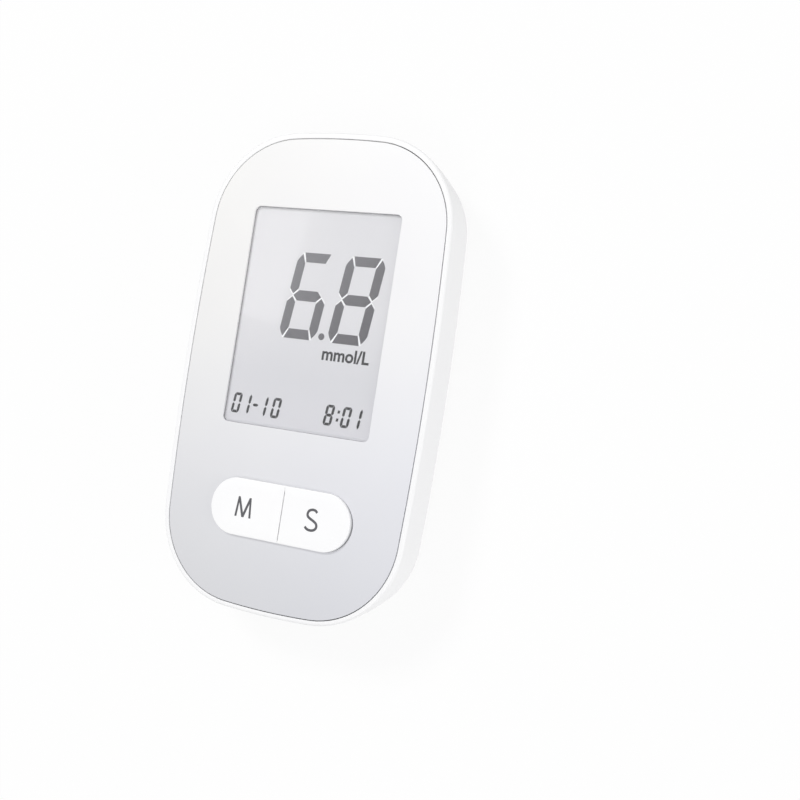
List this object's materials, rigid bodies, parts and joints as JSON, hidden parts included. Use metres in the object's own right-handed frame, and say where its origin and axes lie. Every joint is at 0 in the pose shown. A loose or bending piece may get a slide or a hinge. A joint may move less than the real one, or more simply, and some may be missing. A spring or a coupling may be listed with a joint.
{
  "type": "glucose and uric acid meter",
  "caption": "Handheld glucose and uric acid meter: rounded white case, grey face panel, segment display, push keys, test strip port and sliding battery door.",
  "frame": {"origin": "on the surface that the meter rests on, under the middle of the body", "axes": "+Z out of the face with the display, +Y towards the display end with the strip port, +X to a reader's right"},
  "size_m": [0.0546, 0.0944, 0.0158],
  "materials": {
    "white_shell": "satin moulded plastic",
    "grey_panel": "fine matt printed plastic",
    "white_key": "satin moulded plastic",
    "clear_lens": "clear and polished",
    "display_grey": "grey film with segment marks",
    "reflector_silver": "satin silver film",
    "display_glass": "clear float glass",
    "frame_white": "moulded, matt",
    "connector_rubber": "layered elastomer",
    "board_green": "green solder mask",
    "chip_black": "moulded epoxy",
    "plunger_white": "moulded, matt",
    "connector_beige": "moulded, matt",
    "capacitor_ceramic": "fired ceramic",
    "contact_gold": "gold plated",
    "contact_nickel": "nickel plated spring strip",
    "cell_steel": "drawn steel can",
    "screw_steel": "zinc plated, dulled"
  },
  "bodies": {
    "housing": {"front_shell": "white_shell", "rear_cover": "white_shell", "front_panel": "grey_panel", "display_lens": "clear_lens", "memory_switch": "chip_black", "set_switch": "chip_black", "lcd_front_polariser": "display_grey", "lcd_reflector": "reflector_silver", "lcd_upper_glass": "display_glass", "lcd_lower_glass": "display_glass", "lcd_frame": "frame_white", "lcd_connector_strip": "connector_rubber", "main_board": "board_green", "controller_chip": "chip_black", "amplifier_chip": "chip_black", "memory_chip": "chip_black", "buzzer": "chip_black", "watch_crystal": "cell_steel", "supply_capacitor": "capacitor_ceramic", "filter_capacitor_1": "capacitor_ceramic", "filter_capacitor_2": "capacitor_ceramic", "strip_connector": "connector_beige", "strip_contact_1": "contact_gold", "strip_contact_2": "contact_gold", "strip_contact_3": "contact_gold", "strip_contact_4": "contact_gold", "coin_cell_1": "cell_steel", "coin_cell_2": "cell_steel", "negative_contact_1": "contact_nickel", "negative_contact_2": "contact_nickel", "positive_contact_1": "contact_nickel", "positive_contact_2": "contact_nickel", "case_screw_1": "screw_steel", "case_screw_2": "screw_steel", "case_screw_3": "screw_steel", "case_screw_4": "screw_steel", "board_screw_1": "screw_steel", "board_screw_2": "screw_steel"},
    "memory_key": {"memory_key": "white_key", "memory_switch_plunger": "plunger_white"},
    "set_key": {"set_key": "white_key", "set_switch_plunger": "plunger_white"},
    "battery_door": {"battery_door": "white_shell"}
  },
  "joints": [
    {"name": "memory_key_press", "type": "slide", "parent": "housing", "child": "memory_key", "axis": [0, 0, -1], "range_m": [0, 0.0005], "stiffness_N_per_m": 3000},
    {"name": "set_key_press", "type": "slide", "parent": "housing", "child": "set_key", "axis": [0, 0, -1], "range_m": [0, 0.0005], "stiffness_N_per_m": 3000},
    {"name": "battery_door_slide", "type": "slide", "parent": "housing", "child": "battery_door", "axis": [0, -1, 0], "range_m": [0, 0.044]}
  ]
}
